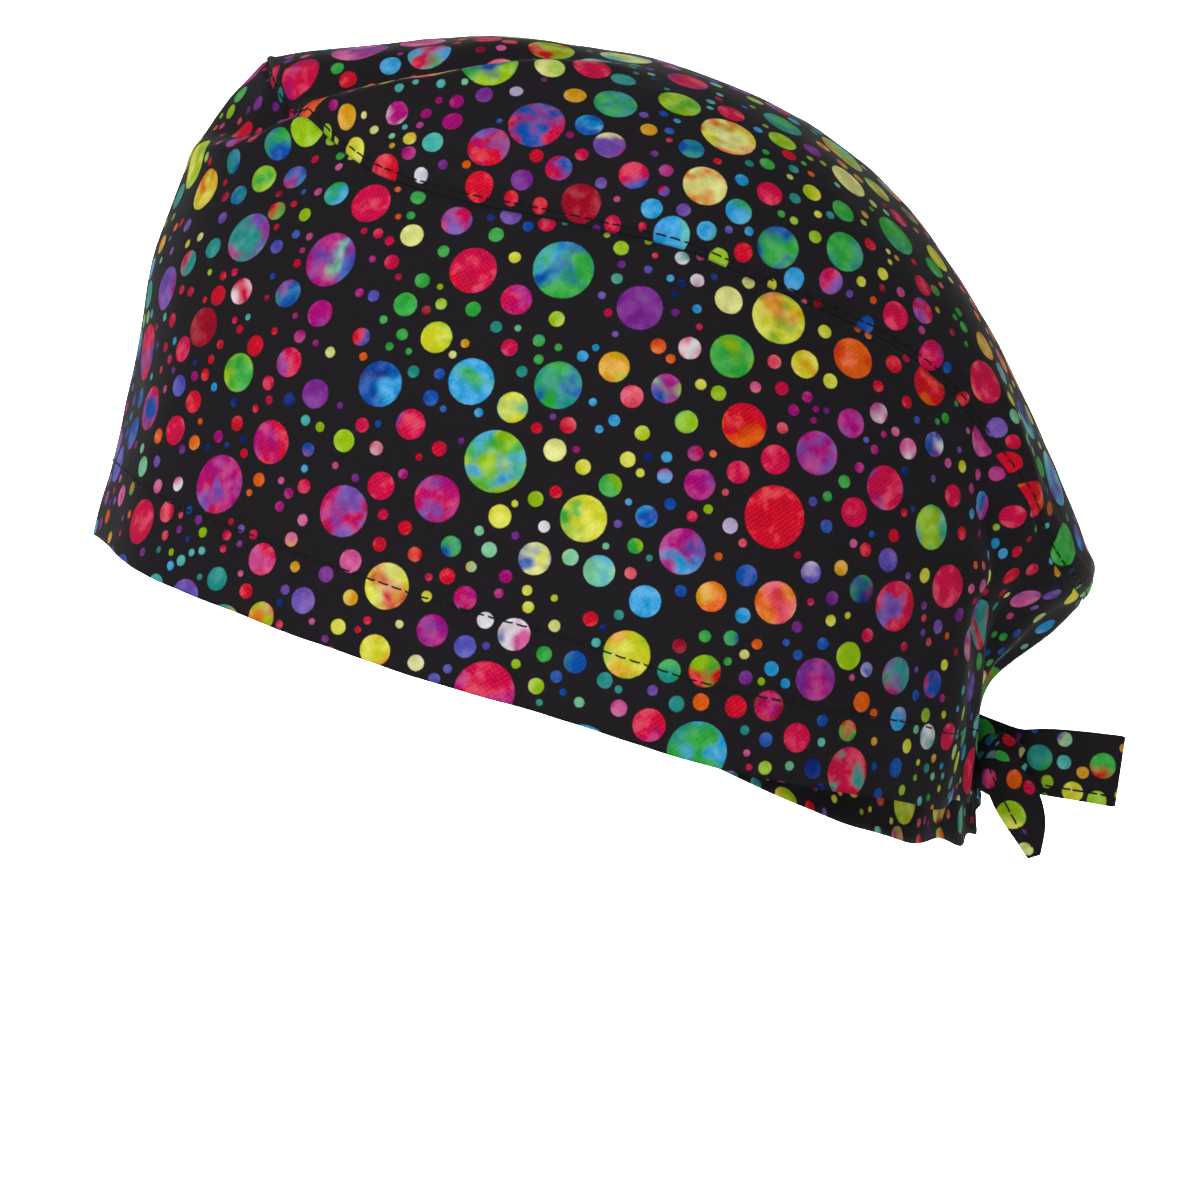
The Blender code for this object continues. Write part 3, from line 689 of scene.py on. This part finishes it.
# %% Throwing the dots
def throw(name):
    """Fills a piece's free cloth with dots, large ones first."""
    found = PIECES[name]
    faces, flat = found["faces"], found["flat"]
    spread = areas(flat, faces)
    spread = np.cumsum(spread) / spread.sum()
    charted = charted_faces(name) if name in ("band", "crown") else np.zeros(len(faces), bool)
    charted_centres = np.array([dot[:3] for dot in found["dots"]]).reshape(-1, 3)
    centres = list(charted_centres)
    radii = [dot[3] for dot in found["dots"]]
    room = np.zeros((20000, 4))
    count = len(centres)
    if count:
        room[:count, :3], room[:count, 3] = charted_centres, radii
    first = count
    # The ties were cut from a stretch of cloth with small dots only.
    for smallest, largest, area_each, everywhere in SIZES if name in ("band", "crown") else SIZES[2:]:
        wanted = int(found["area"] / area_each)
        for _ in range(wanted * 5):
            face = int(np.searchsorted(spread, dice.random()))
            share = dice.random(2)
            size = smallest + (largest - smallest) * dice.random() ** 1.4
            if charted[face] and not everywhere:
                continue
            a, b, c, d = flat[faces[face]]
            low, high = a * (1 - share[0]) + b * share[0], d * (1 - share[0]) + c * share[0]
            spot = low * (1 - share[1]) + high * share[1]
            near = np.linalg.norm(room[:count, :3] - spot, axis=1) - room[:count, 3]
            if count and near.min() < size / 2 + GAP:
                continue
            place = noise.noise(Vector(spot) / 60) * 1.3 + dice.normal() * 0.09 + 0.5
            main = int(place * len(WHEEL)) % len(WHEEL)
            dyes = WHEEL[main]
            if first and charted[face] and dice.random() < 0.35:
                beside = found["dots"][int(np.argmin(np.linalg.norm(charted_centres - spot, axis=1)))][4][0]
                dyes = dyes if beside in "wh" else beside  # the palest dyes are rare in small dots
            if size > 2.6:
                dyes += "".join(WHEEL[(main + int(step)) % len(WHEEL)] for step in dice.integers(-6, 7, 2))
            room[count] = (*spot, size / 2)
            count += 1
            found["dots"].append((*spot, size / 2, dyes))
            if count >= first + wanted * 4:
                break


for name in PIECES:
    throw(name)
print("all dots:", {name: len(found["dots"]) for name, found in PIECES.items()})

# %% [markdown]
# ## From dots to cloth
# Each face of a mesh keeps the three dots that are nearest to it: the middle and radius of each,
# and its dyes. The material then only asks how far a spot is from those middles, so the dots are
# crisp at any size and no picture is needed.

# %% Colours
def linear(colour):
    """sRGB hex to the linear values that shaders take."""
    values = [int(colour[i:i + 2], 16) / 255 for i in (1, 3, 5)]
    return (*[v / 12.92 if v <= 0.04045 else ((v + 0.055) / 1.055) ** 2.4 for v in values], 1.0)


DYE_LIGHT = {letter: linear(colour) for letter, colour in DYES.items()}
print("the first dye, as light:", [round(value, 3) for value in DYE_LIGHT["c"]])

# %% The dots that each face keeps
NEAREST = 3


def nearest_dots(found):
    """For each face, the three dots whose edges are nearest to its middle."""
    centres = np.array([dot[:3] for dot in found["dots"]])
    radii = np.array([dot[3] for dot in found["dots"]])
    middles = found["flat"][found["faces"]].mean(axis=1)
    chosen = []
    for start in range(0, len(middles), 2000):
        part = middles[start:start + 2000]
        edge = np.linalg.norm(part[:, None] - centres[None], axis=2) - radii
        chosen.append(np.argsort(edge, axis=1)[:, :NEAREST])
    return np.concatenate(chosen)


print("nearest dots of the band's first face:", nearest_dots(PIECES["band"])[0])

# %% [markdown]
# ## A piece of cloth
# The mesh takes the folded points, and carries the unfolded ones beside them as an attribute. A UV
# map in metres runs along the threads, for the weave. A Solidify modifier gives the panels their
# thickness: the wrong side of the cloth and its cut edges get the second material.

# %% Meshes with their dots
COTTON = 0.45  # quilting cotton, with its finish and a little air


def cloth_object(name, materials, thickness=COTTON):
    """Makes a piece's mesh. Ties are closed tubes already, so they take no thickness."""
    found = PIECES[name]
    mesh = bpy.data.meshes.new(name)
    mesh.from_pydata((found["points"] * MM).tolist(), [], found["faces"].tolist())
    mesh.update()
    flat = mesh.attributes.new("flat", "FLOAT_VECTOR", "POINT")
    flat.data.foreach_set("vector", found["flat"].astype(np.float32).ravel())
    chosen = nearest_dots(found)
    centres = np.array([dot[:3] for dot in found["dots"]], np.float32)
    radii = np.array([dot[3] for dot in found["dots"]], np.float32)
    dyes = [(dot[4] + dot[4][0] * 2)[:3] for dot in found["dots"]]
    tones = np.array([[DYE_LIGHT[letter] for letter in three] for three in dyes], np.float32)
    for slot in range(NEAREST):
        middle = mesh.attributes.new(f"dot_{slot}", "FLOAT_VECTOR", "FACE")
        middle.data.foreach_set("vector", centres[chosen[:, slot]].ravel())
        radius = mesh.attributes.new(f"radius_{slot}", "FLOAT", "FACE")
        radius.data.foreach_set("value", radii[chosen[:, slot]])
        for tone in range(3):
            colour = mesh.attributes.new(f"dye_{slot}_{tone}", "FLOAT_COLOR", "FACE")
            colour.data.foreach_set("color", tones[chosen[:, slot], tone].ravel())
    # The weave runs along the strip and up it, in metres.
    weave = mesh.uv_layers.new(name="weave")
    shape = found["shape"]
    grid = found["flat"].reshape(*shape, 3)
    pace_along = np.linalg.norm(np.diff(grid, axis=0), axis=2).mean() * MM
    pace_up = np.linalg.norm(np.diff(grid, axis=1), axis=2).mean() * MM
    column, row = np.divmod(np.arange(len(found["faces"])), shape[1] - 1)
    corners = [((column + i) * pace_along, (row + j) * pace_up) for i, j in ((0, 0), (1, 0), (1, 1), (0, 1))]
    corners = np.stack([np.stack(corner, axis=-1) for corner in corners], axis=1)
    weave.data.foreach_set("uv", corners.astype(np.float32).ravel())
    made = bpy.data.objects.new(name, mesh)
    bpy.context.scene.collection.objects.link(made)
    for material in materials:
        mesh.materials.append(material)
    if thickness:  # the printed face of an open panel has to look away from the head
        normals = np.zeros(len(mesh.polygons) * 3)
        mesh.polygons.foreach_get("normal", normals)
        outward = away_from_head(found["points"][found["faces"]].mean(axis=1))
        if np.median((normals.reshape(-1, 3) * outward).sum(axis=1)) < 0:
            mesh.flip_normals()
    mesh.shade_smooth()
    if thickness:
        wall = made.modifiers.new("wall", "SOLIDIFY")
        wall.thickness = thickness * MM
        wall.offset = -1
        wall.use_even_offset = False
        wall.material_offset = 1
        wall.material_offset_rim = 1
    return made


# %% [markdown]
# ## Printed cotton
# Quilting cotton is a plain weave with a matt face. Its black ground is never quite black: fibres
# on its surface catch light, which a little sheen gives. The dyes sit in the threads, so each dot has
# a slightly ragged rim, runs softly from one colour to the next and shows the weave as fine light
# specks. The wrong side is the same cloth with its print only just showing through.

# %% A node with its settings and links
def add(tree, kind, *values, out=None, **named):
    """Adds a shader node and gives back an output of it, the first unless out names another.

    values feed its sockets in order. A name with a capital feeds that socket, one without sets that
    property of the node. A socket is fed by a constant or by another node's output.
    """
    made = tree.nodes.new("ShaderNode" + kind)
    for key, value in named.items():
        if key.islower():
            setattr(made, key, value)
    sockets = [socket for socket in made.inputs if socket.enabled]
    feeds = list(zip(sockets, values))
    capitals = [key for key in named if not key.islower()]
    feeds += [(made.inputs[key.replace("_", " ")], named[key]) for key in capitals]
    for socket, value in feeds:
        if isinstance(value, bpy.types.NodeSocket):
            tree.links.new(value, socket)
        else:
            socket.default_value = value
    return made.outputs[out] if out else next(socket for socket in made.outputs if socket.enabled)


print("a helper for nodes:", add.__doc__.splitlines()[0])

# %% Cotton, printed or from its wrong side
# Real quilting cotton has a thread each 0.36 mm. This is a little coarser, so that it still shows.
THREAD_PITCH = 0.5 * MM
SMOOTH = {"interpolation_type": "SMOOTHSTEP"}


def cotton(name, print_strength, ground, lightness):
    """print_strength is how much of the dyes shows: all on the printed face, a trace on the wrong side."""
    material = bpy.data.materials.new(name)
    material.use_nodes = True
    tree = material.node_tree
    shader = tree.nodes["Principled BSDF"]
    flat = add(tree, "Attribute", attribute_name="flat", out="Vector")
    ragged = add(tree, "TexNoise", flat, Scale=1.1, Detail=2.0)
    wash = add(tree, "TexNoise", flat, Scale=0.13, Detail=2.0, Roughness=0.4, Distortion=0.3)
    shifted = add(tree, "VectorMath", flat, (31.0, 17.0, 5.0), operation="ADD")
    wash_two = add(tree, "TexNoise", shifted, Scale=0.16, Detail=2.0, Roughness=0.4, Distortion=0.3)
    cloud = add(tree, "TexNoise", flat, Scale=0.28, Detail=3.0, Roughness=0.5)
    speck = add(tree, "TexNoise", flat, Scale=2.6, Detail=2.0, Roughness=0.7)
    wobble = add(tree, "Math", ragged, 0.24, -0.12, operation="MULTIPLY_ADD")
    # Watery patches in the dyes: dark where the dye is full, and pale where water thinned it.
    bright = add(tree, "MapRange", cloud, 0.3, 0.72, 0.72, 1.04, **SMOOTH)
    full = add(tree, "MapRange", cloud, 0.35, 0.72, 1.1, 0.94, **SMOOTH)
    colour = ground
    for slot in reversed(range(NEAREST)):
        centre = add(tree, "Attribute", attribute_name=f"dot_{slot}", out="Vector")
        radius = add(tree, "Attribute", attribute_name=f"radius_{slot}", out="Fac")
        away = add(tree, "VectorMath", flat, centre, operation="DISTANCE")
        inside = add(tree, "Math", radius, away, operation="SUBTRACT")
        inside = add(tree, "Math", inside, wobble, operation="ADD")
        mask = add(tree, "MapRange", inside, -0.15, 0.15, 0.0, print_strength, **SMOOTH)
        names = [f"dye_{slot}_{tone}" for tone in range(3)]
        dyes = [add(tree, "Attribute", attribute_name=name_of_dye, out="Color") for name_of_dye in names]
        second = add(tree, "MapRange", wash, 0.42, 0.64, **SMOOTH)
        third = add(tree, "MapRange", wash_two, 0.47, 0.68, **SMOOTH)
        run = add(tree, "Mix", second, dyes[0], dyes[1], data_type="RGBA")
        run = add(tree, "Mix", third, run, dyes[2], data_type="RGBA")
        # The black ground bleeds into a small dot more than into a large one.
        kept = add(tree, "MapRange", radius, 0.6, 2.6, 0.8, 1.0)
        value = add(tree, "Math", bright, kept, operation="MULTIPLY")
        run = add(tree, "HueSaturation", Color=run, Saturation=full, Value=value)
        colour = add(tree, "Mix", mask, colour, run, data_type="RGBA")
    # Pale specks where a thread comes up.
    weave = add(tree, "UVMap", uv_map="weave")
    turns = add(tree, "VectorMath", weave, operation="SCALE", Scale=math.pi / THREAD_PITCH)
    parts = add(tree, "SeparateXYZ", turns).node.outputs
    waves = [add(tree, "Math", part, operation="SINE") for part in parts[:2]]
    over = add(tree, "Math", *waves, operation="MULTIPLY")
    raised = add(tree, "Math", over, 0.25, speck, operation="MULTIPLY_ADD")
    lift = add(tree, "MapRange", raised, 0.45, 0.85, 0.0, 0.17, **SMOOTH)
    even = add(tree, "HueSaturation", Color=colour, Value=lightness)
    pale = add(tree, "HueSaturation", Color=even, Saturation=0.85, Value=1.5)
    tree.links.new(add(tree, "Mix", lift, even, pale, data_type="RGBA"), shader.inputs["Base Color"])
    shader.inputs["Roughness"].default_value = 0.86
    shader.inputs["Specular IOR Level"].default_value = 0.05
    shader.inputs["Sheen Weight"].default_value = 0.02
    shader.inputs["Sheen Roughness"].default_value = 0.55
    fuzz = add(tree, "Math", speck, 0.8, over, operation="MULTIPLY_ADD")
    bump = add(tree, "Bump", Strength=0.25, Distance=0.05 * MM, Height=fuzz)
    soft = add(tree, "Bump", Strength=0.4, Distance=0.3 * MM, Height=cloud, Normal=bump)
    tree.links.new(soft, shader.inputs["Normal"])
    return material


# %% The cloth of the cap
# A matt, slightly warm black that lets the dyes glow.
printed = cotton("printed_face_of_cotton", 1.0, linear("#1c1a1d"), 1.0)
# Dull charcoal, with the dots only guessed at: what the head would see.
wrong_side = cotton("wrong_side_of_cotton", 0.10, linear("#242326"), 0.9)

band = cloth_object("band", [printed, wrong_side])
crown = cloth_object("crown", [printed, wrong_side])
ties = {name: cloth_object(name, [printed], 0) for name in PIECES if name not in ("band", "crown")}
print("pieces of cloth:", [band.name, crown.name, *ties])

# %% [markdown]
# ## Stitches
# The crown's seam is pressed towards the crown and topstitched close beside it, and the hem is
# stitched along its inner edge. On a sewing machine one stitch is about 2.5 mm long and dips at both
# ends, so a row of short, bent capsules reads as thread where one long tube would read as cord.

# %% Sewing thread
THREAD_TWISTS = 700.0  # turns of the wave in a metre, coarser than real twist, so that it shows


def thread_material():
    """Black spun polyester: smoother than cotton, so each stitch has a thin highlight."""
    material = bpy.data.materials.new("sewing_thread")
    material.use_nodes = True
    tree = material.node_tree
    shader = tree.nodes["Principled BSDF"]
    place = add(tree, "TexCoord", out="Object")
    wave = {"bands_direction": "DIAGONAL", "Scale": THREAD_TWISTS, "Distortion": 1.0, "out": "Fac"}
    twist = add(tree, "TexWave", place, **wave)
    dark = add(tree, "Mix", twist, linear("#09080a"), linear("#151417"), data_type="RGBA")
    tree.links.new(dark, shader.inputs["Base Color"])
    shader.inputs["Roughness"].default_value = 0.65
    shader.inputs["Specular IOR Level"].default_value = 0.15
    bump = add(tree, "Bump", Strength=0.4, Distance=0.05 * MM, Height=twist)
    tree.links.new(bump, shader.inputs["Normal"])
    return material


thread = thread_material()
print("material:", thread.name)

# %% A row of stitches
STITCH = 2.5
STITCH_GAP = 0.5
THREAD = 0.36
# Where along a stitch its rings are, and how high each stands above the cloth, in millimetres.
STITCH_RINGS = ((0, -0.3), (0.12, 0.06), (0.35, 0.15), (0.65, 0.15), (0.88, 0.06), (1, -0.3))


def stitch_row(name, line, normals, material):
    """Stitches along a line on the cloth, joined into one mesh."""
    length = lengths(line)
    both = np.hstack([line, normals])
    points, faces = [], []
    sides = 6
    shares, heights = np.array(STITCH_RINGS, float).T
    for start in np.arange(0, length[-1] - STITCH, STITCH + STITCH_GAP):
        wanted = np.interp(start + shares * STITCH, [0, length[-1]], [0, lengths(both)[-1]])
        spots = at_lengths(both, wanted)
        middle, up = spots[:, :3], unit(spots[:, 3:])
        along = unit(np.gradient(middle, axis=0))
        side = unit(np.cross(along, up))
        up = np.cross(side, along)
        middle = middle + up * heights[:, None]
        base = len(points)
        for spot, s, u in zip(middle, side, up):
            for turn in np.arange(sides) * 2 * math.pi / sides:
                points.append((spot + THREAD / 2 * (s * math.cos(turn) + u * math.sin(turn))) * MM)
        for ring in range(len(shares) - 1):
            for k in range(sides):
                a, b = base + ring * sides + k, base + ring * sides + (k + 1) % sides
                faces.append((a, b, b + sides, a + sides))
        faces.append(tuple(range(base + sides - 1, base - 1, -1)))
        faces.append(tuple(range(base + (len(shares) - 1) * sides, base + len(shares) * sides)))
    mesh = bpy.data.meshes.new(name)
    mesh.from_pydata(points, [], faces)
    mesh.materials.append(material)
    mesh.shade_smooth()
    made = bpy.data.objects.new(name, mesh)
    bpy.context.scene.collection.objects.link(made)
    print(name, len(range(0, len(faces), (len(shares) - 1) * sides + 2)), "stitches")
    return made


# %% Stitches of the hem, the seam and the ties
HEM_STITCH = 0.8  # below the top of the turned-up hem
TIE_STITCH = 2.2  # from the edge of a tie
outer = band_cloth[:, TURN_ROWS + 1:]
hem_line = np.array([at_lengths(rib, [TURN_UP - HEM_STITCH])[0] for rib in [*outer, outer[0]]])
hem_stitches = stitch_row("hem_stitches", hem_line, away_from_head(hem_line), thread)
insets = [min(TOPSTITCH, lengths(arch)[-1] * 0.4) for arch in crown_cloth]
left = np.array([at_lengths(arch, [inset])[0] for arch, inset in zip(crown_cloth, insets)])
right = np.array([at_lengths(arch[::-1], [inset])[0] for arch, inset in zip(crown_cloth, insets)])
seam_line = np.vstack([left, right[::-1], left[:1]])
seam_stitches = stitch_row("seam_stitches", seam_line, away_from_head(seam_line), thread)
tie_rows = []
for label, (route, across, normal, wide) in (("tie_back", tie_back), ("tie_down", tie_down)):
    side = 1 if normal[:, 1].mean() < 0 else -1
    edge = route + across * (wide * 0.5 - TIE_STITCH) + normal * 1.45 * side
    tie_rows.append(stitch_row(label + "_stitches", edge[4:], normal[4:] * side, thread))

# %% [markdown]
# ## Studio
# A pale sweep, a broad soft light above and a softer one in front, so that black cloth still shows its
# folds. The camera stands a metre and a half off the wearer's left, level with the ear.

# %% The sweep of pale paper, in metres
FLOOR, WALL_FROM, WALL_ROUND, WALL_TOP, SWEEP_HALF = -0.32, 0.9, 0.8, 2.4, 12


def sweep():
    """A floor that curves up into a wall, well below and behind the cap."""
    profile = [(-SWEEP_HALF, FLOOR), (WALL_FROM, FLOOR)]
    for t in np.linspace(0.1, math.pi / 2, 12):
        profile.append((WALL_FROM + WALL_ROUND * math.sin(t), FLOOR + WALL_ROUND * (1 - math.cos(t))))
    profile.append((WALL_FROM + WALL_ROUND, WALL_TOP))
    points = [(x, y, z) for y, z in profile for x in (-SWEEP_HALF, SWEEP_HALF)]
    faces = [(2 * i, 2 * i + 1, 2 * i + 3, 2 * i + 2) for i in range(len(profile) - 1)]
    mesh = bpy.data.meshes.new("sweep")
    mesh.from_pydata(points, [], faces)
    mesh.shade_smooth()
    made = bpy.data.objects.new("sweep", mesh)
    bpy.context.scene.collection.objects.link(made)
    material = bpy.data.materials.new("matt_paper")
    material.use_nodes = True
    tree = material.node_tree
    shader = tree.nodes["Principled BSDF"]
    grain = add(tree, "TexNoise", Scale=60.0)
    paper = add(tree, "Mix", grain, linear("#f6f5f4"), linear("#fbfaf9"), data_type="RGBA")
    tree.links.new(paper, shader.inputs["Base Color"])
    shader.inputs["Roughness"].default_value = 0.95
    mesh.materials.append(material)
    return made


floor = sweep()
print("floor at", FLOOR, "m")


# %% Soft lights
def area_light(name, place, target, size, power):
    """A square soft light that looks at target."""
    data = bpy.data.lights.new(name, "AREA")
    data.shape, data.size, data.energy = "SQUARE", size, power
    made = bpy.data.objects.new(name, data)
    bpy.context.scene.collection.objects.link(made)
    made.location = place
    made.rotation_euler = (Vector(target) - Vector(place)).to_track_quat("-Z", "Y").to_euler()
    return made


key = area_light("key", (-0.6, -1.5, 1.0), (0.02, 0, -0.1), 1.2, 19)
fill = area_light("fill", (-0.3, -1.9, 0.1), (0.02, 0, -0.1), 1.4, 11.5)
back = area_light("backdrop", (0.02, 0.75, 0.45), (0.02, 1.5, -0.15), 0.5, 60)
world = bpy.data.worlds.new("studio")
bpy.context.scene.world = world
world.use_nodes = True
world.node_tree.nodes["Background"].inputs["Color"].default_value = linear("#fbfbff")
world.node_tree.nodes["Background"].inputs["Strength"].default_value = 0.26
bpy.context.scene.view_settings.view_transform = "Standard"
print("lights, watts:", {light.name: light.data.energy for light in (key, fill, back)})

# %% The camera
camera_data = bpy.data.cameras.new("camera")
camera_data.lens, camera_data.sensor_width = 211.5, 36
camera = bpy.data.objects.new("camera", camera_data)
bpy.context.scene.collection.objects.link(camera)
camera.location = EYE * MM
camera.rotation_euler = (math.pi / 2, 0, 0)
bpy.context.scene.camera = camera
print("camera:", camera_data.lens, "mm lens,", round(float(-EYE[1])) / 1000, "m away")

# %% [markdown]
# ## Into the frame
# Every piece rides on the one body and stands for a node of the packed part. Each panel is declared
# as a sheet with the flat size that it is cut to, and the strips with the size that they fold to.

# %% Rides, and the nodes that the cloth stands for
nodes = {
    "band": "side_band", "crown": "crown_panel", "tie_back": "tie_end_back", "tie_down": "tie_end_down",
    "knot_wrap": "tie_knot",
}
everything = {"band": band, "crown": crown, **ties}
for name, made in everything.items():
    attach(made, "root")
    if name in nodes:
        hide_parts(nodes[name])
for made in [hem_stitches, seam_stitches, *tie_rows]:
    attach(made, "root")
print("stood for:", sorted(nodes.values()))

# %% Cut sizes
for name, made in everything.items():
    found = PIECES[name]
    grid = found["flat"].reshape(*found["shape"], 3)
    rows = [grid[:, row] for row in (0, found["shape"][1] // 2, -1)]
    if found["closed"]:
        rows = [np.vstack([row, row[:1]]) for row in rows]
    along = max(lengths(row)[-1] for row in rows)
    up = max(lengths(line)[-1] for line in grid[::6])
